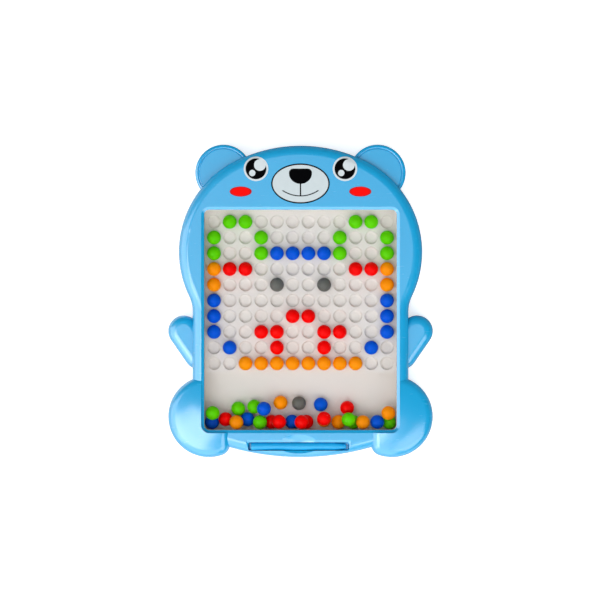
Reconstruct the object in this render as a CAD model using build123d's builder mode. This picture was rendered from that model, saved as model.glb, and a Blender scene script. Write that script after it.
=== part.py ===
"""A bear-shaped magnetic bead drawing board, lying on its back.

A blue two-part case holds a white tray under a clear window. The tray has a grid of
cups that beads are lifted out of and drawn into with a magnetic pen, and a deep pool
at the bottom where the loose beads gather. The pen lies in a trough in the belly.

Millimetres. +X is the right of the face as it is looked at, +Y points to the head and
+Z comes out of the face. The origin is the middle of the back face.
"""

import os
from math import hypot, sqrt

from build123d import *

os.makedirs("parts", exist_ok=True)

# Beads and the cups that they seat in.
bead_diameter = 12.0
well_land = 1.4
well_columns = 12
well_rows = 10
cup_rim = 5.75
cup_depth = 3.0
cup_round = 2.5
bead_clearance = 0.12

# Tray.
tray_wall = 1.6
tray_floor = 1.4
tray_lift = 0.2
side_margin = 1.2
head_margin = 3.2
step_margin = 1.3
pool_length = 48.3
pool_headroom = 0.5
plate_web = 1.3
tray_corner = 4.5
tray_ribs = 3
tray_rib = 2.0

# Window.
window_thickness = 1.7
window_overlap = 4.1
window_fit = 0.15
window_reveal = 0.3
field_gap = 13.6
opening_bevel = 2.5
opening_bevel_drop = 1.4

# Case.
case_wall = 2.0
back_height = 13.0
back_round = 4.0
face_round = 8.0
waist_border = 10.3
cheek_bulge = 11.7
cheek_drop = 35.6
brow_border = 54.85
belly_border = 23.6
head_radius = 124.0
belly_radius = 218.0
belly_corner = 30.0
waist_blend = 30.0
tongue_height = 1.6
tongue_clearance = 0.1
groove_relief = 0.4
least_round = 0.4
cut_past = 1.0

# Ears, arms and feet.
ear_radius = 24.0
ear_rise = 0.95
ear_spread = 65.6
ear_step = 9.0
ear_round = 2.2
ear_groove_inset = 2.9
ear_groove_radius = 1.0
arm_radius = 13.4
arm_reach = 7.5
arm_drop = 103.0
arm_run = (13.4, 19.4)
arm_step = 7.0
arm_round = 7.5
foot_radius = 34.8
foot_reach = 9.0
foot_lift = 0.0
foot_inner = 60.0
foot_rise = 4.5
foot_crown = 120.0
foot_round = 8.0
foot_corner = 9.6

# Pen and its trough.
pen_diameter = 6.6
pen_length = 81.0
pen_bore = 4.4
pen_tip_length = 10.0
pen_end_length = 2.4
pen_spigot = 6.0
pen_chamfer = 0.5
pen_fit = 0.1
pen_nose = 3.6
magnet_diameter = 3.0
magnet_length = 5.0
magnet_cover = 1.0
trough_clearance = 0.25
trough_end_gap = 2.4
trough_depth = 7.9
trough_flare = 2.2
trough_end_flare = 1.5
trough_flare_drop = 1.3
trough_wall = 3.8
trough_corner = 1.6
trough_floor_round = 1.5
trough_off_centre = -1.6
trough_edge_border = 5.8
scoop_half_width = 17.0
scoop_half_height = 9.2
scoop_depth = 3.2

# Screws. Their offsets are from the ear's, the arm's and the foot's centre, and from
# the corner of the foot's inner side and the belly's edge.
screw_diameter = 2.9
screw_head = 5.6
screw_head_height = 2.2
screw_slot = (3.4, 0.8)
screw_slot_depth = 1.0
screw_length = 14.0
screw_seat = 6.0
screw_clearance = 0.25
pilot_clearance = 0.1
pilot_spare = 1.0
boss_diameter = 7.6
sleeve_wall = 1.6
ear_screw = (-17.5, -8.2)
arm_screw = (-1.0, -2.0)
foot_screw = (18.4, -4.0)
belly_screw = (-6.0, 14.3)

# Printed face.
ink = 0.15
eye_spread = 37.8
eye_drop = 19.85
eye_ring_radius = 10.45
eye_radius = 8.85
glint_radius = 5.0
glint_offset = (3.3, 3.2)
spark_radius = 2.7
spark_offset = (-3.15, -3.6)
cheek_spread = 50.8
cheek_print_drop = 39.2
cheek_print = (9.4, 4.3)
muzzle_drop = 32.4
muzzle = (23.7, 15.9)
muzzle_line = 1.15
nose_half = 9.8
nose_height = 13.0
nose_top_rise = 12.7
nose_round = 3.7
smile_half = 15.3
smile_ends_drop = 5.8
smile_drop = 10.5
smile_line = 0.9

# Heights, from the back face up.
pool_floor_z = case_wall + tray_lift + tray_floor
pool_depth = 2 * bead_diameter + pool_headroom
window_z = pool_floor_z + pool_depth
window_top_z = window_z + window_thickness
face_z = window_top_z + case_wall
plate_z = window_z - field_gap
bead_radius = bead_diameter / 2
seated_bead_z = plate_z - cup_depth + bead_clearance + bead_radius
foot_z = face_z + foot_rise
arm_z = face_z - arm_step
ear_z = face_z - ear_step

# Widths and lengths, worked outwards from the field of cups.
well_pitch = bead_diameter + well_land
field_half = well_columns * well_pitch / 2 + side_margin
field_length = well_rows * well_pitch + head_margin + step_margin
case_length = belly_border + pool_length + field_length + brow_border + ear_rise
belly_y = -case_length / 2
pool_y = belly_y + belly_border
step_y = pool_y + pool_length
field_head_y = step_y + field_length
head_y = field_head_y + brow_border
wells_y = step_y + step_margin + well_rows * well_pitch / 2
waist_half = field_half + waist_border
cheek_half = waist_half + cheek_bulge
cheek_y = field_head_y - cheek_drop
field_y = (pool_y + field_head_y) / 2
field_span = field_head_y - pool_y

# Centres of the arcs of the body's outline.
head_centre_y = head_y - head_radius
cheek_rise = cheek_y - head_centre_y
cheek_radius = (head_radius**2 - cheek_half**2 - cheek_rise**2) / (2 * (head_radius - cheek_half))
cheek_x = cheek_half - cheek_radius
belly_centre_y = belly_y + belly_radius
corner_x = waist_half - belly_corner
corner_y = belly_centre_y - sqrt((belly_radius - belly_corner) ** 2 - corner_x**2)

# Centres of the limbs, on the right side.
ear_centre = (ear_spread, head_y + ear_rise - ear_radius)
arm_top = (waist_half + arm_reach, field_head_y - arm_drop)
arm_root = (arm_top[0] - arm_run[0], arm_top[1] - arm_run[1])
foot_centre = (cheek_half + foot_reach - foot_radius, belly_y + foot_lift + foot_radius)

# Trough, from the belly's edge, and the pen that lies in it.
trough_width = pen_diameter + 2 * trough_clearance
trough_length = pen_length + 2 * trough_end_gap
trough_z = face_z - trough_depth
pen_y = belly_y + trough_edge_border + trough_width / 2
pen_z = trough_z + pen_diameter / 2 + pen_fit
mouth_y = pen_y + trough_flare / 2
pen_end_x = trough_off_centre - pen_length / 2
barrel_x = pen_end_x + pen_end_length
tip_x = pen_end_x + pen_length - pen_tip_length
spigot = pen_bore - 2 * pen_fit

screw_places = [
    (side * (x + across), y + up)
    for side in (-1, 1)
    for (x, y), (across, up) in (
        (ear_centre, ear_screw),
        (arm_top, arm_screw),
        (foot_centre, foot_screw),
        ((foot_inner, belly_y), belly_screw),
    )
]


def along(centre, towards, distance):
    """The point at a distance from centre, in the direction of another point."""
    dx, dy = towards[0] - centre[0], towards[1] - centre[1]
    reach = hypot(dx, dy)
    return centre[0] + dx / reach * distance, centre[1] + dy / reach * distance


def body_outline(inset=0.0):
    """Head, cheeks, waist and belly in one face, drawn in from its edge by inset."""
    waist = waist_half - inset
    cheek = cheek_radius - inset
    head = head_radius - inset
    belly = belly_radius - inset
    crown = along((0, head_centre_y), (cheek_x, cheek_y), head)
    waist_y = cheek_y - sqrt(cheek**2 - (waist - cheek_x) ** 2)
    hip = along((0, belly_centre_y), (corner_x, corner_y), belly)
    turn = along((corner_x, corner_y), (waist_half, hip[1]), belly_corner - inset)
    brow = along((0, head_centre_y), (crown[0] / 2, crown[1]), head)
    lap = along((0, belly_centre_y), (hip[0] / 2, hip[1]), belly)
    with BuildSketch() as half:
        with BuildLine():
            ThreePointArc((0, head_y - inset), brow, crown)
            ThreePointArc(crown, (cheek_half - inset, cheek_y), (waist, waist_y))
            Line((waist, waist_y), (waist, corner_y))
            ThreePointArc((waist, corner_y), turn, hip)
            ThreePointArc(hip, lap, (0, belly_y + inset))
            Line((0, belly_y + inset), (0, head_y - inset))
        make_face()
        near_waist = [v for v in half.vertices() if abs(v.Y - waist_y) < 0.01 and v.X > 1]
        fillet(near_waist, waist_blend + inset)
        mirror(about=Plane.YZ)
    return half.sketch


def ear_outline(side, inset=0.0):
    with BuildSketch() as outline:
        with Locations((side * ear_centre[0], ear_centre[1])):
            Circle(ear_radius - inset)
    return outline.sketch


def arm_outline(side, inset=0.0):
    with BuildSketch() as outline:
        for x, y in (arm_top, arm_root):
            with Locations((side * x, y)):
                Circle(arm_radius - inset)
        make_hull()
    return outline.sketch


def foot_outline(side, inset=0.0):
    """A disc cut straight on the side of the belly, with its two corners rounded."""
    x, y = foot_centre
    reach = foot_radius - inset
    inner = foot_inner + inset
    with BuildSketch() as outline:
        with Locations((side * x, y)):
            Circle(reach)
        with Locations((side * (inner - reach), y)):
            Rectangle(2 * reach, 2 * reach, mode=Mode.SUBTRACT)
        fillet(outline.vertices(), foot_corner - inset)
    return outline.sketch


def lobes():
    """Each lobe of the case: its outline, its height and the rounding of its edge."""
    yield body_outline, (), face_z, face_round
    for side in (-1, 1):
        yield ear_outline, (side,), ear_z, ear_round
        yield arm_outline, (side,), arm_z, arm_round
        yield foot_outline, (side,), foot_z, foot_round


def front_lobe(outline, where, inset=0.0, top=0.0, rounding=0.0):
    """One lobe of the front shell, drawn in on all sides by inset. A foot has a crown."""
    with BuildPart() as lobe:
        with BuildSketch(Plane.XY.offset(back_height)):
            add(outline(*where, inset=inset))
        extrude(amount=top - inset - back_height)
        if outline is foot_outline:
            with Locations((where[0] * foot_centre[0], foot_centre[1], foot_z - foot_crown)):
                Sphere(foot_crown - inset, mode=Mode.INTERSECT)
        if rounding - inset > least_round:
            fillet(lobe.faces().sort_by(Axis.Z)[-1].edges(), rounding - inset)
    return lobe.part


def back_lobe(outline, base, top, rounding):
    with BuildPart() as lobe:
        with BuildSketch(Plane.XY.offset(base)):
            add(outline)
        extrude(amount=top - base)
        fillet(lobe.edges().group_by(Axis.Z)[0], rounding)
    return lobe.part


def window_frame(reach, corner):
    """A rounded rectangle that stands off the tray's inner walls by reach."""
    with BuildSketch() as frame:
        with Locations((0, field_y)):
            RectangleRounded(2 * (field_half + reach), field_span + 2 * reach, corner)
    return frame.sketch


def slab(outline, base, top):
    """A flat slab of one outline between two heights."""
    with BuildPart() as piece:
        with BuildSketch(Plane.XY.offset(base)):
            add(outline)
        extrude(amount=top - base)
    return piece.part


def case_ring(outer, inner, base, top):
    """A ring that runs all round inside the case's wall, between two insets."""
    with BuildPart() as ring:
        with BuildSketch(Plane.XY.offset(base)):
            for outline, where, _, _ in lobes():
                add(outline(*where, inset=outer))
        extrude(amount=top - base)
        with BuildSketch(Plane.XY.offset(base)):
            for outline, where, _, _ in lobes():
                add(outline(*where, inset=inner))
        extrude(amount=top - base, mode=Mode.SUBTRACT)
    return ring.part


def flared_cut(inner, outer, base, drop, top):
    """A cut with straight sides, that opens out from inner to outer in its last drop below the face."""
    with BuildPart() as cut:
        add(slab(inner, base, face_z - drop))
        with BuildSketch(Plane.XY.offset(face_z - drop)):
            add(inner)
        with BuildSketch(Plane.XY.offset(face_z)):
            add(outer)
        loft(ruled=True)
        add(slab(outer, face_z, top))
    return cut.part


def scoop_body(grow=0.0):
    """The dish for a thumb and a finger, across the middle of the trough."""
    rise = (scoop_half_height**2 - scoop_depth**2) / (2 * scoop_depth)
    round_axis = rise + scoop_depth
    long_axis = scoop_half_width * round_axis / scoop_half_height
    centre = Plane((trough_off_centre, mouth_y, face_z + rise), x_dir=(1, 0, 0), z_dir=(0, 0, 1))
    with BuildPart() as dish:
        with BuildSketch(centre) as half:
            Ellipse(long_axis + grow, round_axis + grow)
            with Locations((0, -long_axis)):
                Rectangle(4 * long_axis, 2 * long_axis, mode=Mode.SUBTRACT)
        revolve(axis=Axis((0, mouth_y, face_z + rise), (1, 0, 0)))
    return dish.part


def trough_plan(flared, grow=0.0):
    """The trough's outline at its floor, where flared is 0, or at its mouth, where it is 1."""
    length = trough_length + 2 * (flared * trough_end_flare + grow)
    width = trough_width + flared * trough_flare + 2 * grow
    with BuildSketch() as plan:
        with Locations((trough_off_centre, pen_y + flared * trough_flare / 2)):
            RectangleRounded(length, width, trough_corner)
    return plan.sketch


def trough_body():
    """The pen's channel: close to the pen, with a bevelled mouth towards its ends and the head."""
    with BuildPart() as channel:
        add(flared_cut(trough_plan(0), trough_plan(1), trough_z, trough_flare_drop, face_z + cut_past))
        fillet(channel.edges().group_by(Axis.Z)[0], trough_floor_round)
    return channel.part


def skin_body():
    """The outside of the front shell, as one solid, with the grooves round its ears."""
    with BuildPart() as skin:
        for outline, where, top, rounding in lobes():
            add(front_lobe(outline, where, 0.0, top, rounding))
            if outline is ear_outline:
                with Locations((where[0] * ear_centre[0], ear_centre[1], ear_z)):
                    Torus(ear_radius - ear_groove_inset, ear_groove_radius, mode=Mode.SUBTRACT)
        add(front_lobe(body_outline, (), 0.0, face_z, face_round))
    return skin.part


def bosses(diameter, base, top):
    with BuildPart() as posts:
        for x, y in screw_places:
            with Locations((x, y, base)):
                Cylinder(diameter / 2, top - base, align=(Align.CENTER, Align.CENTER, Align.MIN))
    return posts.part


def opening_body():
    """The hole in the face over the window, with a bevel all round."""
    hole = window_frame(window_reveal, tray_corner)
    mouth = window_frame(window_reveal + opening_bevel, tray_corner + opening_bevel)
    return flared_cut(hole, mouth, window_top_z, opening_bevel_drop, foot_z + cut_past)


def front_cavity(window_reach):
    """The hollow inside the front shell, round its ceiling, trough walls and bosses."""
    with BuildPart() as cavity:
        for outline, where, top, rounding in lobes():
            add(front_lobe(outline, where, case_wall, top, rounding))
        add(slab(window_frame(window_reach + case_wall, tray_corner), window_top_z, foot_z),
            mode=Mode.SUBTRACT)
        add(slab(trough_plan(1, trough_wall), trough_z - case_wall, foot_z), mode=Mode.SUBTRACT)
        add(scoop_body(case_wall), mode=Mode.SUBTRACT)
        add(bosses(boss_diameter, back_height, foot_z), mode=Mode.SUBTRACT)
    return cavity.part


def make_front_shell(skin):
    window_reach = window_reveal + window_overlap + window_fit
    pilot_top = screw_seat + screw_length + pilot_spare
    with BuildPart() as front_shell:
        add(skin)
        add(front_cavity(window_reach), mode=Mode.SUBTRACT)
        add(slab(window_frame(window_reach, tray_corner), back_height, window_top_z), mode=Mode.SUBTRACT)
        add(opening_body(), mode=Mode.SUBTRACT)
        add(trough_body(), mode=Mode.SUBTRACT)
        add(scoop_body(), mode=Mode.SUBTRACT)
        add(bosses(screw_diameter + pilot_clearance, back_height, pilot_top), mode=Mode.SUBTRACT)
        add(case_ring(case_wall / 2, case_wall + groove_relief, back_height,
                      back_height + tongue_height + tongue_clearance), mode=Mode.SUBTRACT)
    return front_shell.part


def make_back_shell():
    head_hole = screw_head + 2 * screw_clearance
    with BuildPart() as back_shell:
        for outline, where, _, _ in lobes():
            add(back_lobe(outline(*where), 0, back_height, back_round))
        for outline, where, _, _ in lobes():
            hollow = back_lobe(outline(*where, inset=case_wall), case_wall, back_height,
                               back_round - case_wall)
            add(hollow, mode=Mode.SUBTRACT)
        add(bosses(head_hole + 2 * sleeve_wall, 0, back_height))
        add(case_ring(case_wall / 2 + tongue_clearance, case_wall, back_height - case_wall,
                      back_height + tongue_height))
        add(bosses(head_hole, 0, screw_seat), mode=Mode.SUBTRACT)
        add(bosses(screw_diameter + 2 * screw_clearance, 0, back_height), mode=Mode.SUBTRACT)
    return back_shell.part


def make_screws():
    """Self-tapping screws, driven in from the back."""
    upward = (Align.CENTER, Align.CENTER, Align.MIN)
    length, width = screw_slot
    with BuildPart() as screws:
        for x, y in screw_places:
            with Locations((x, y, screw_seat - screw_head_height)):
                Cylinder(screw_head / 2, screw_head_height, align=upward)
                Cylinder(screw_diameter / 2, screw_head_height + screw_length, align=upward)
                Box(width, length, screw_slot_depth, align=upward, mode=Mode.SUBTRACT)
                Box(length, width, screw_slot_depth, align=upward, mode=Mode.SUBTRACT)
    return screws.part


def make_cup():
    """The hollow of one cup: a flat-bottomed dish that a bead stands in."""
    with BuildPart() as cup:
        with Locations((0, 0, plate_z - cup_depth)):
            Cylinder(cup_rim, cup_depth + cut_past, align=(Align.CENTER, Align.CENTER, Align.MIN))
        fillet(cup.edges().group_by(Axis.Z)[0], cup_round)
    return cup.part


def make_tray():
    """Outer walls, the plate of cups and the deep pool, moulded in one piece."""
    base = case_wall + tray_lift
    under_top = plate_z - cup_depth - plate_web
    plate_length = field_head_y - step_y
    bay = (plate_length - tray_wall - (tray_ribs - 1) * tray_rib) / tray_ribs
    with BuildPart() as bead_tray:
        add(slab(window_frame(tray_wall, tray_corner + tray_wall), base, window_z))
        add(slab(window_frame(0, tray_corner), plate_z, window_z), mode=Mode.SUBTRACT)
        with BuildSketch(Plane.XY.offset(pool_floor_z)):
            add(window_frame(0, tray_corner))
            with Locations((0, step_y + plate_length)):
                Rectangle(4 * field_half, 2 * plate_length, mode=Mode.SUBTRACT)
        extrude(amount=window_z - pool_floor_z, mode=Mode.SUBTRACT)
        with Locations((0, wells_y, 0)):
            with GridLocations(well_pitch, well_pitch, well_columns, well_rows):
                add(make_cup(), mode=Mode.SUBTRACT)
        for rib in range(tray_ribs):
            bay_y = step_y + tray_wall + bay / 2 + rib * (bay + tray_rib)
            with Locations((0, bay_y, base)):
                Box(2 * field_half, bay, under_top - base, mode=Mode.SUBTRACT,
                    align=(Align.CENTER, Align.CENTER, Align.MIN))
    return bead_tray.part


def make_window():
    return slab(window_frame(window_reveal + window_overlap, tray_corner), window_z, window_top_z)


picture = (
    ".GG......GG.",
    "G..G....G..G",
    "G..GBBBBG..G",
    "ORR......RRO",
    "O...N..N...O",
    "B..........B",
    "B....RR....B",
    "B..RR..RR..B",
    ".B..R..R..B.",
    "..OOOOOOOO..",
)

colours = {"G": "green", "B": "blue", "R": "red", "O": "orange", "N": "grey"}

# Loose beads, in the order that they fell: colour, and place across and up the pool
# from its lower left corner, in bead diameters.
loose_beads = (
    ("B", 0.51, 0.51), ("R", 1.48, 0.72), ("B", 3.04, 0.71), ("R", 4.75, 0.53),
    ("B", 6.20, 0.54), ("R", 7.22, 0.53), ("O", 8.47, 0.66), ("O", 9.50, 0.52),
    ("G", 10.56, 0.52), ("G", 13.09, 0.51), ("G", 2.37, 1.47), ("G", 3.51, 1.61),
    ("O", 5.38, 1.90), ("N", 6.69, 1.85), ("B", 8.24, 1.76), ("R", 10.12, 1.52),
    ("G", 0.56, 1.17), ("O", 2.25, 0.51), ("G", 3.92, 0.51), ("R", 5.28, 0.55),
    ("R", 6.88, 0.53), ("R", 8.47, 0.78), ("G", 10.22, 0.71), ("O", 11.23, 0.52),
    ("B", 12.25, 0.53), ("O", 13.04, 1.17), ("B", 4.21, 1.47),
)


def seated_places(letter):
    """Centres of one colour's beads in the cups, for the picture as it is drawn."""
    left = -(well_columns - 1) * well_pitch / 2
    top = wells_y + (well_rows - 1) * well_pitch / 2
    return [
        (left + column * well_pitch, top - row * well_pitch, seated_bead_z)
        for row, line in enumerate(picture[:well_rows])
        for column, mark in enumerate(line[:well_columns])
        if mark == letter
    ]


def resting_places():
    """Centres of the loose beads: each lies as low as the beads under it let it."""
    gap = bead_diameter + bead_clearance
    edge = bead_radius + bead_clearance
    placed = []
    for _, across, up in loose_beads:
        x = min(max(-field_half + across * bead_diameter, -field_half + edge), field_half - edge)
        y = max(pool_y + up * bead_diameter, pool_y + edge)
        z = pool_floor_z + edge
        for other in sorted(placed, key=lambda place: place[2]):
            apart = hypot(x - other[0], y - other[1])
            if apart < gap and abs(z - other[2]) < sqrt(gap**2 - apart**2):
                z = other[2] + sqrt(gap**2 - apart**2)
        placed.append((x, y, z))
    return placed


def make_beads(places):
    with BuildPart() as beads:
        with Locations(*places):
            Sphere(bead_radius)
    return beads.part


def pen_plane(x):
    """A plane across the pen, at a place along it."""
    return Plane((x, pen_y, pen_z), x_dir=(0, 1, 0), z_dir=(1, 0, 0))


def pen_disc(x, diameter, length):
    with BuildPart() as disc:
        with BuildSketch(pen_plane(x)):
            Circle(diameter / 2)
        extrude(amount=length)
    return disc.part


def make_pen_barrel():
    with BuildPart() as pen_barrel:
        add(pen_disc(barrel_x, pen_diameter, tip_x - barrel_x))
        add(pen_disc(barrel_x, pen_bore, tip_x - barrel_x), mode=Mode.SUBTRACT)
    return pen_barrel.part


def make_pen_end():
    """The plug that closes the pen's blunt end."""
    with BuildPart() as pen_end_plug:
        add(pen_disc(pen_end_x, pen_diameter, pen_end_length))
        chamfer(pen_end_plug.edges().group_by(Axis.X)[0], pen_chamfer)
        add(pen_disc(barrel_x, spigot, pen_spigot))
    return pen_end_plug.part


def make_pen_tip():
    """The nose of the pen, bored from behind for the magnet that is pressed into it."""
    bore_length = pen_spigot + pen_tip_length - magnet_cover
    with BuildPart() as pen_tip:
        with BuildSketch(pen_plane(tip_x)):
            Circle(pen_diameter / 2)
        with BuildSketch(pen_plane(tip_x + pen_tip_length)):
            Circle(pen_nose / 2)
        loft()
        fillet(pen_tip.edges().group_by(Axis.X)[-1], magnet_cover)
        add(pen_disc(tip_x - pen_spigot, spigot, pen_spigot))
        add(pen_disc(tip_x - pen_spigot, magnet_diameter + 2 * pen_fit, bore_length), mode=Mode.SUBTRACT)
    return pen_tip.part


def make_pen_magnet():
    magnet_x = tip_x + pen_tip_length - magnet_cover - pen_fit / 2 - magnet_length
    return pen_disc(magnet_x, magnet_diameter, magnet_length)


def eye_discs(radius, offset=(0.0, 0.0)):
    with BuildSketch() as discs:
        for side in (-1, 1):
            with Locations((side * eye_spread + offset[0], head_y - eye_drop + offset[1])):
                Circle(radius)
    return discs.sketch


def eye_glints():
    """The white lights in both eyes, kept inside the black discs."""
    with BuildSketch() as glints:
        add(eye_discs(glint_radius, glint_offset))
        add(eye_discs(spark_radius, spark_offset))
        add(eye_discs(eye_radius), mode=Mode.INTERSECT)
    return glints.sketch


def muzzle_face(grow=0.0):
    with BuildSketch() as face:
        with Locations((0, head_y - muzzle_drop)):
            Ellipse(muzzle[0] + grow, muzzle[1] + grow)
    return face.sketch


def nose_face():
    """A rounded nose: straight across the top, with full round sides below."""
    middle = head_y - muzzle_drop + nose_top_rise - nose_round
    with BuildSketch() as nose:
        with Locations((0, middle)):
            Ellipse(nose_half, nose_height - nose_round)
        with Locations((0, middle + nose_height)):
            Rectangle(2 * nose_half, 2 * nose_height, mode=Mode.SUBTRACT)
        with Locations((0, middle)):
            SlotOverall(2 * nose_half, 2 * nose_round)
    return nose.sketch


def mouth_lines():
    """The line down from the nose and the smile that it meets."""
    centre = head_y - muzzle_drop
    nose_foot = centre + nose_top_rise - nose_height
    ends = centre - smile_ends_drop
    low = centre - smile_drop
    with BuildSketch() as mouth:
        with Locations((0, (nose_foot + cut_past + low) / 2)):
            Rectangle(muzzle_line, nose_foot + cut_past - low)
        with BuildLine() as curve:
            ThreePointArc((-smile_half, ends), (0, low), (smile_half, ends))
        add(trace(curve.wires()[0], smile_line))
    return mouth.sketch


def ink_layer(shape):
    """A printed shape, as a thin layer that follows the face and its rounded edge."""
    with BuildPart() as layer:
        with BuildSketch(Plane.XY.offset(face_z - face_round)):
            add(shape)
        extrude(amount=2 * face_round)
        body = front_lobe(body_outline, (), 0.0, face_z, face_round)
        add(body.moved(Location((0, 0, ink))), mode=Mode.INTERSECT)
        add(body, mode=Mode.SUBTRACT)
    return layer.part


def make_black_print():
    with BuildSketch() as black:
        add(eye_discs(eye_radius))
        add(eye_glints(), mode=Mode.SUBTRACT)
        add(muzzle_face(muzzle_line))
        add(muzzle_face(), mode=Mode.SUBTRACT)
        add(nose_face())
        add(mouth_lines())
    return ink_layer(black.sketch)


def make_white_print():
    with BuildSketch() as white:
        add(eye_discs(eye_ring_radius))
        add(eye_discs(eye_radius), mode=Mode.SUBTRACT)
        add(eye_glints())
    return ink_layer(white.sketch)


def make_grey_print():
    with BuildSketch() as grey:
        add(muzzle_face())
        add(nose_face(), mode=Mode.SUBTRACT)
        add(mouth_lines(), mode=Mode.SUBTRACT)
    return ink_layer(grey.sketch)


def make_red_print():
    with BuildSketch() as red:
        for side in (-1, 1):
            with Locations((side * cheek_spread, head_y - cheek_print_drop)):
                Ellipse(*cheek_print)
    return ink_layer(red.sketch)


def write(part, name):
    part.label = name
    export_step(part, f"parts/{name}.step")


write(make_front_shell(skin_body()), "front_shell")
write(make_back_shell(), "back_shell")
write(make_screws(), "case_screws")
write(make_tray(), "bead_tray")
write(make_window(), "window")
write(make_pen_barrel(), "pen_barrel")
write(make_pen_tip(), "pen_tip")
write(make_pen_magnet(), "pen_magnet")
write(make_pen_end(), "pen_end_plug")
write(make_black_print(), "black_print")
write(make_white_print(), "white_print")
write(make_grey_print(), "grey_print")
write(make_red_print(), "red_print")
for letter, colour in colours.items():
    write(make_beads(seated_places(letter)), f"drawn_beads_{colour}")
for count, ((letter, _, _), place) in enumerate(zip(loose_beads, resting_places()), 1):
    write(make_beads([place]), f"loose_bead_{count:02d}_{colours[letter]}")
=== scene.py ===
# A bear-shaped magnetic bead drawing board, lying on a white table.
# Everything is in metres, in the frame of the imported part: +Y to the head, +Z up.

import math
import random

import bpy
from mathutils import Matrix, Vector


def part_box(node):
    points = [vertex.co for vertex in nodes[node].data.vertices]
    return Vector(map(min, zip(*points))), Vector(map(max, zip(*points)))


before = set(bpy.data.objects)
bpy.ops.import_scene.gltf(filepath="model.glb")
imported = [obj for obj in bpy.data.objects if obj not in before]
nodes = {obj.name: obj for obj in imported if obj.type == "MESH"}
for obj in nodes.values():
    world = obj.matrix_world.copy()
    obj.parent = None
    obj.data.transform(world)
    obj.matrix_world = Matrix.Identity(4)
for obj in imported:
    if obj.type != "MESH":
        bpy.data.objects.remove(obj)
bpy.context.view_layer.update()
print("frame loaded:", len(nodes), "nodes")


class Wire:
    # a shader socket that sums can be written on
    def __init__(self, finish, socket):
        self.finish = finish
        self.socket = socket

    def maths(self, operation, first, second):
        return self.finish.node("ShaderNodeMath", {"operation": operation}, {0: first, 1: second})

    def __add__(self, other):
        return self.maths("ADD", self, other)

    def __sub__(self, other):
        return self.maths("SUBTRACT", self, other)

    def __rsub__(self, other):
        return self.maths("SUBTRACT", other, self)

    def __mul__(self, other):
        return self.maths("MULTIPLY", self, other)

    def __truediv__(self, other):
        return self.maths("DIVIDE", self, other)

    def __abs__(self):
        return self.maths("ABSOLUTE", self, 0.0)

    __radd__ = __add__
    __rmul__ = __mul__


class Finish:
    # one material, or the world, and the nodes that make it
    def __init__(self, name, world=None):
        self.material = world or bpy.data.materials.new(name)
        self.material.use_nodes = True
        self.tree = self.material.node_tree
        self.tree.nodes.clear()

    def node(self, kind, settings=None, inputs=None, output=0):
        made = self.tree.nodes.new(kind)
        for key, value in (settings or {}).items():
            setattr(made, key, value)
        for key, value in (inputs or {}).items():
            if isinstance(value, Wire):
                self.tree.links.new(value.socket, made.inputs[key])
            else:
                made.inputs[key].default_value = value
        return Wire(self, made.outputs[output]) if made.outputs else made

    def place(self):
        return self.node("ShaderNodeTexCoord", output="Object")

    def axes(self, vector):
        return [self.node("ShaderNodeSeparateXYZ", None, {0: vector}, axis) for axis in range(3)]

    def noise(self, scale, detail=2.0, stretch=None):
        spot = self.place()
        if stretch:
            spot = self.node("ShaderNodeMapping", None, {"Vector": spot, "Scale": stretch})
        return self.node("ShaderNodeTexNoise", None, {"Vector": spot, "Scale": scale, "Detail": detail})

    def ease(self, value, low, high, start=0.0, end=1.0):
        # a smooth step of value, from start below low to end above high
        return self.node("ShaderNodeMapRange", {"interpolation_type": "SMOOTHSTEP"}, {
            "Value": value, "From Min": low, "From Max": high, "To Min": start, "To Max": end})

    def blend(self, share, first, second):
        return self.node("ShaderNodeMix", {"data_type": "RGBA"}, {0: share, 6: first, 7: second}, 2)

    def mix(self, share, first, second):
        return self.node("ShaderNodeMixShader", None, {0: share, 1: first, 2: second})

    def ray(self, kind):
        return self.node("ShaderNodeLightPath", output="Is " + kind + " Ray")

    def background(self, strength, tint):
        return self.node("ShaderNodeBackground", None, {"Color": tint, "Strength": strength})

    def emission(self, strength):
        return self.node("ShaderNodeEmission", None, {"Color": (1, 1, 1, 1), "Strength": strength})

    def bump(self, height, distance):
        return self.node("ShaderNodeBump", None, {"Height": height, "Distance": distance})

    def surface(self, inputs):
        return self.node("ShaderNodeBsdfPrincipled", None, inputs)

    def done(self, shader):
        self.node("ShaderNodeOutputMaterial", None, {"Surface": shader})
        return self.material


def colour(red, green, blue):
    # a screen colour, 0 to 255, as the linear colour that shaders take
    def curve(value):
        share = value / 255
        return share / 12.92 if share <= 0.04045 else ((share + 0.055) / 1.055) ** 2.4
    return (curve(red), curve(green), curve(blue), 1.0)


def coat(node, material):
    mesh = nodes[node].data
    mesh.materials.clear()
    mesh.materials.append(material)


# the camera hangs straight above the board, far enough off to see no sides
view = {
    "fieldWidth": 0.51, "distance": 5.0, "centre": (-0.0004, 0.0008),
    "faceHeight": 0.030, "sensor": 36.0, "farthest": 50,
}

lens = bpy.data.cameras.new("overhead")
lens.sensor_width = view["sensor"]
lens.lens = view["sensor"] * view["distance"] / view["fieldWidth"]
lens.clip_end = view["farthest"]
camera = bpy.data.objects.new("overhead", lens)
camera.location = (*view["centre"], view["faceHeight"] + view["distance"])
bpy.context.scene.collection.objects.link(camera)
bpy.context.scene.camera = camera
bpy.context.scene.view_settings.view_transform = "Standard"
print("camera set")


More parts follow.
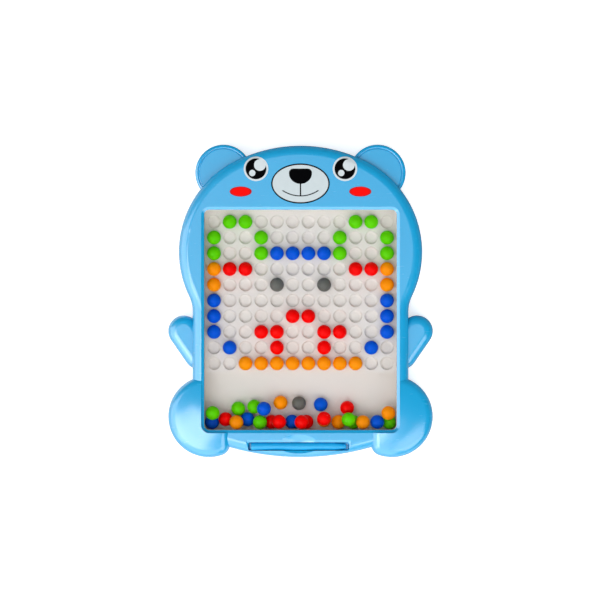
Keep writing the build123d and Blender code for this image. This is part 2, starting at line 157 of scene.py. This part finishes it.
# lamps that face the board's middle, and cards, which reflections show but which light nothing matt
lamps = {
    "softboxLeft": {"turn": 222, "rise": 64, "away": 1.3, "size": (0.75, 0.75), "power": 4.5},
    "wallLeft": {"turn": 192, "rise": 31, "away": 1.3, "size": (1.5, 1.55), "power": 12.4, "card": True},
    "wallFront": {"turn": 248, "rise": 31, "away": 1.3, "size": (1.5, 1.55), "power": 9.4, "card": True},
    "softboxRight": {"turn": 310, "rise": 42, "away": 1.2, "size": (0.72, 0.92), "power": 4.3},
    "above": {"turn": 240, "rise": 78, "away": 6.0, "size": (3.0, 3.0), "power": 24.0},
}
for name, lamp in lamps.items():
    light = bpy.data.lights.new(name, "AREA")
    light.shape = "RECTANGLE"
    light.size, light.size_y = lamp["size"]
    light.energy = lamp["power"]
    holder = bpy.data.objects.new(name, light)
    turn, rise, away = math.radians(lamp["turn"]), math.radians(lamp["rise"]), lamp["away"]
    level = away * math.cos(rise)
    holder.location = (level * math.cos(turn), level * math.sin(turn), away * math.sin(rise))
    holder.rotation_mode = "QUATERNION"
    holder.rotation_quaternion = holder.location.to_track_quat("Z", "Y")
    holder.visible_diffuse = not lamp.get("card")
    bpy.context.scene.collection.objects.link(holder)

# the world: pale to the camera, and brighter on the left softbox's side as fill and in reflections
air = {
    "pale": (0.8, 0.8, 0.8, 1.0), "tint": (0.93, 0.97, 1.0, 1.0), "fill": (0.27, 1.0),
    "bright": (-0.68, -0.68, 0.27), "reach": (-0.15, 0.95), "dim": 0.03,
}

world = bpy.data.worlds.new("studio")
bpy.context.scene.world = world
sky = Finish("studio", world)
compass = sky.node("ShaderNodeTexCoord", output="Generated")
lean = sky.node("ShaderNodeVectorMath", {"operation": "DOT_PRODUCT"},
                {0: compass, 1: air["bright"]}, "Value")
mirrored = sky.background(sky.ease(lean, *air["reach"], air["dim"], 1.0), air["pale"])
backdrop = sky.background(1.0, air["pale"])
dome = sky.background(sky.ease(lean, -1.0, 1.0, *air["fill"]), air["tint"])
for kind, seen in (("Camera", backdrop), ("Transmission", backdrop), ("Glossy", mirrored)):
    dome = sky.mix(sky.ray(kind), dome, seen)
sky.node("ShaderNodeOutputWorld", None, {"Surface": dome})

# the table: lifted to white for the camera; in reflections it glows as a painted reflection, white on
# the softbox's side and dimmed to painted shade on the side away from the softbox
table = {
    "half": 8.0, "drop": 0.0003, "lift": 0.6, "flag": 0.1, "reach": 0.16, "grain": 40.0,
    "dark": colour(238, 238, 240), "light": colour(246, 246, 247), "rough": 0.9, "gloss": 0.1,
}

bpy.ops.mesh.primitive_plane_add(size=2 * table["half"], location=(0, 0, -table["drop"]))
floor = bpy.context.object
floor.name = "table"
paper = Finish("tablePaper")
matt = paper.surface({
    "Base Color": paper.blend(paper.noise(table["grain"]), table["dark"], table["light"]),
    "Roughness": table["rough"], "Specular IOR Level": table["gloss"]})
lifted = paper.node("ShaderNodeAddShader", None, {0: matt, 1: paper.emission(table["lift"])})
east, north, _ = paper.axes(paper.place())
# painted shade in reflections: the table's glow dims towards the side away from the softbox
dusk = paper.ease(east + north, -table["reach"], table["reach"])
mirrored = paper.mix(dusk, paper.emission(1.0), paper.emission(table["flag"]))
lit = paper.mix(paper.ray("Glossy"), matt, mirrored)
floor.data.materials.append(paper.done(paper.mix(paper.ray("Camera"), lit, lifted)))
print("lamps and table set")


# blue case and pen; a noise is given by its scale, its detail and the way it is stretched
shell = {
    "blue": colour(12, 169, 223), "deep": colour(7, 163, 219), "rough": 0.2, "roughSpread": 0.08,
    "coat": 1.0, "coatIor": 1.8, "coatRough": 0.16,
}
pen = {
    "blue": colour(8, 168, 226), "deep": colour(5, 160, 220), "rough": 0.35, "roughSpread": 0.06,
    "coat": 0.1, "coatIor": 1.5, "coatRough": 0.1,
}
seam = {"colour": colour(10, 90, 150), "height": 0.013, "width": 0.00022, "depth": 12.0}
plastic = {
    "ior": 1.5, "cloud": (22.0, 3.0), "peel": (520.0, 2.0), "patches": (45.0, 3.0), "relief": 0.00001,
    "marks": (90.0, 5.0, (1.0, 7.0, 1.0)), "markReach": (0.62, 0.72), "markRough": 0.05,
}


def moulded(name, look, hasSeam=False):
    # gloss plastic: faint cloudiness, orange peel and fine handling marks
    made = Finish(name)
    height = made.noise(*plastic["peel"])
    paint = made.blend(made.noise(*plastic["cloud"]), look["deep"], look["blue"])
    if hasSeam:
        rise = made.axes(made.place())[2]
        line = 1 - made.ease(abs(rise - seam["height"]), seam["width"] / 2, seam["width"])
        paint = made.blend(line, paint, seam["colour"])
        height = height - line * seam["depth"]
    marks = made.ease(made.noise(*plastic["marks"]), *plastic["markReach"])
    rough = made.noise(*plastic["patches"]) * look["roughSpread"] + look["rough"]
    return made.done(made.surface({
        "Base Color": paint, "Roughness": rough + marks * plastic["markRough"], "IOR": plastic["ior"],
        "Coat Weight": look["coat"], "Coat Roughness": look["coatRough"], "Coat IOR": look["coatIor"],
        "Normal": made.bump(height, plastic["relief"])}))


shellFinish = moulded("skyBlueShell", shell, hasSeam=True)
for node in ("front_shell", "back_shell"):
    coat(node, shellFinish)

penFinish = moulded("penBlue", pen)
for node in ("pen_barrel", "pen_tip", "pen_end_plug"):
    coat(node, penFinish)
print("case and pen finished")


# white tray
tray = {
    "white": colour(224, 217, 210), "shade": colour(219, 211, 205), "cloud": (16.0, 3.0),
    "rough": 0.38, "roughSpread": 0.1, "patches": (70.0, 3.0), "ior": 1.46,
    "grain": (900.0, 2.0), "relief": 0.000012,
}

cup = Finish("warmWhiteTray")
coat("bead_tray", cup.done(cup.surface({
    "Base Color": cup.blend(cup.noise(*tray["cloud"]), tray["shade"], tray["white"]),
    "Roughness": cup.noise(*tray["patches"]) * tray["roughSpread"] + tray["rough"],
    "IOR": tray["ior"], "Normal": cup.bump(cup.noise(*tray["grain"]), tray["relief"])})))

# clear window: gloss grows towards low angles, with a few fine scuffs
window = {
    "clear": (0.985, 0.99, 0.992, 1.0), "rough": 0.03, "edge": 0.2, "gloss": 0.35,
    "scuffs": (60.0, 6.0, (1.0, 9.0, 1.0)), "scuffReach": (0.66, 0.74), "scuffGloss": 0.01,
}

pane = Finish("clearWindow")
slant = pane.node("ShaderNodeLayerWeight", None, {"Blend": window["edge"]}, "Facing")
clear = pane.node("ShaderNodeBsdfTransparent", None, {"Color": window["clear"]})
gloss = pane.node("ShaderNodeBsdfGlossy", None, {
    "Color": (1, 1, 1, 1), "Roughness": window["rough"]})
scuffs = pane.ease(pane.noise(*window["scuffs"]), *window["scuffReach"], 0.0, window["scuffGloss"])
coat("window", pane.done(pane.mix(slant * window["gloss"] + scuffs, clear, gloss)))
print("tray and window finished")


# beads, each colour as its light and its deep shade
beadColours = {
    "green": (colour(98, 214, 3), colour(88, 203, 2)),
    "blue": (colour(2, 90, 218), colour(2, 80, 206)),
    "red": (colour(252, 4, 2), colour(244, 2, 1)),
    "orange": (colour(255, 152, 5), colour(252, 140, 3)),
    "grey": (colour(108, 108, 103), colour(95, 95, 90)),
}
bead = {
    "radius": 0.006, "pitch": 0.0134, "seed": 12, "tilt": 0.6, "seamWidth": 0.00012, "seamHeight": 4.0,
    "cloud": (60.0, 2.0), "patches": (150.0, 2.0), "rough": 0.24, "roughSpread": 0.1, "gloss": 0.06,
    "grain": (800.0, 2.0), "relief": 0.000012,
}
tilts = random.Random(bead["seed"])


def beadFinish(name, shades, centre, onGrid):
    # satin plastic with the faint parting line that its mould leaves, on a plane tilted at random
    made = Finish(name)
    most = bead["tilt"]
    plane = [tilts.uniform(-most, most), tilts.uniform(-most, most), 1.0]
    size = math.sqrt(sum(part * part for part in plane))
    height = None
    half = bead["pitch"] / 2
    wrapped = (onGrid, onGrid, False)  # beads drawn on the grid share one material
    for spot, middle, part, wraps in zip(made.axes(made.place()), centre, plane, wrapped):
        local = spot - middle
        if wraps:
            local = made.node("ShaderNodeMath", {"operation": "WRAP"}, {0: local, 1: half, 2: -half})
        local = local * (part / size)
        height = height + local if height else local
    line = 1 - made.ease(abs(height), bead["seamWidth"] * 0.4, bead["seamWidth"])
    relief = made.noise(*bead["grain"]) + line * bead["seamHeight"]
    return made.done(made.surface({
        "Base Color": made.blend(made.noise(*bead["cloud"]), shades[1], shades[0]),
        "Roughness": made.noise(*bead["patches"]) * bead["roughSpread"] + bead["rough"],
        "Specular IOR Level": bead["gloss"], "Normal": made.bump(relief, bead["relief"])}))


for node in nodes:
    kind = node.split("_")[-1]
    if node.startswith("drawn_beads_"):
        low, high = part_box(node)
        corner = (low[0] + bead["radius"], low[1] + bead["radius"], (low[2] + high[2]) / 2)
        coat(node, beadFinish("drawn" + kind.title(), beadColours[kind], corner, True))
    if node.startswith("loose_bead_"):
        low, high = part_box(node)
        title = "loose" + node.split("_")[2] + kind.title()
        coat(node, beadFinish(title, beadColours[kind], (low + high) / 2, False))
print("beads finished")


# printed face
inks = {
    "black_print": {"dark": colour(1, 1, 2), "light": colour(4, 4, 6), "gloss": 0.02},
    "white_print": {"dark": colour(200, 207, 209), "light": colour(214, 221, 223), "gloss": 0.12},
    "grey_print": {"dark": colour(197, 207, 209), "light": colour(205, 213, 215), "gloss": 0.12},
}
printed = {
    "cloud": (220.0, 3.0), "patches": (120.0, 2.0), "rough": 0.5, "roughSpread": 0.08,
    "grain": (1500.0, 2.0), "relief": 0.000006,
}
cheek = {
    "red": colour(248, 8, 4), "rim": colour(176, 28, 36), "rimReach": (0.5, 1.0),
    "half": (0.0094, 0.0043), "gloss": 0.04,
}


def inked(made, paint, shine):
    # a thin layer of satin ink
    return made.done(made.surface({
        "Base Color": paint, "Specular IOR Level": shine,
        "Roughness": made.noise(*printed["patches"]) * printed["roughSpread"] + printed["rough"],
        "Normal": made.bump(made.noise(*printed["grain"]), printed["relief"])}))


for node, look in inks.items():
    made = Finish(node.replace("_print", "Ink"))
    paint = made.blend(made.noise(*printed["cloud"]), look["dark"], look["light"])
    coat(node, inked(made, paint, look["gloss"]))

# both cheeks darken to the rim of their ellipse
blush = Finish("cheekInk")
low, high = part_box("red_print")
across, up, _ = blush.axes(blush.place())
aside = (abs(across) - (high[0] - cheek["half"][0])) / cheek["half"][0]
upward = (up - (low[1] + high[1]) / 2) / cheek["half"][1]
rim = blush.ease(aside * aside + upward * upward, *cheek["rimReach"])
coat("red_print", inked(blush, blush.blend(rim, cheek["red"], cheek["rim"]), cheek["gloss"]))


# screws and magnet
metals = {
    "case_screws": {"bright": (0.58, 0.59, 0.6, 1), "dull": (0.42, 0.43, 0.45, 1),
                    "rough": 0.32, "scale": 700.0},
    "pen_magnet": {"bright": (0.62, 0.6, 0.57, 1), "dull": (0.5, 0.49, 0.47, 1),
                   "rough": 0.22, "scale": 300.0},
}
brushed = {"detail": 4.0, "stretch": (1.0, 1.0, 0.2), "roughSpread": 0.15, "relief": 0.00001}
for node, look in metals.items():
    made = Finish(node.replace("_", "") + "Metal")
    brush = made.noise(look["scale"], brushed["detail"], brushed["stretch"])
    coat(node, made.done(made.surface({
        "Base Color": made.blend(brush, look["dull"], look["bright"]), "Metallic": 1.0,
        "Roughness": brush * brushed["roughSpread"] + look["rough"],
        "Normal": made.bump(brush, brushed["relief"])})))
print("prints, screws and magnet finished")
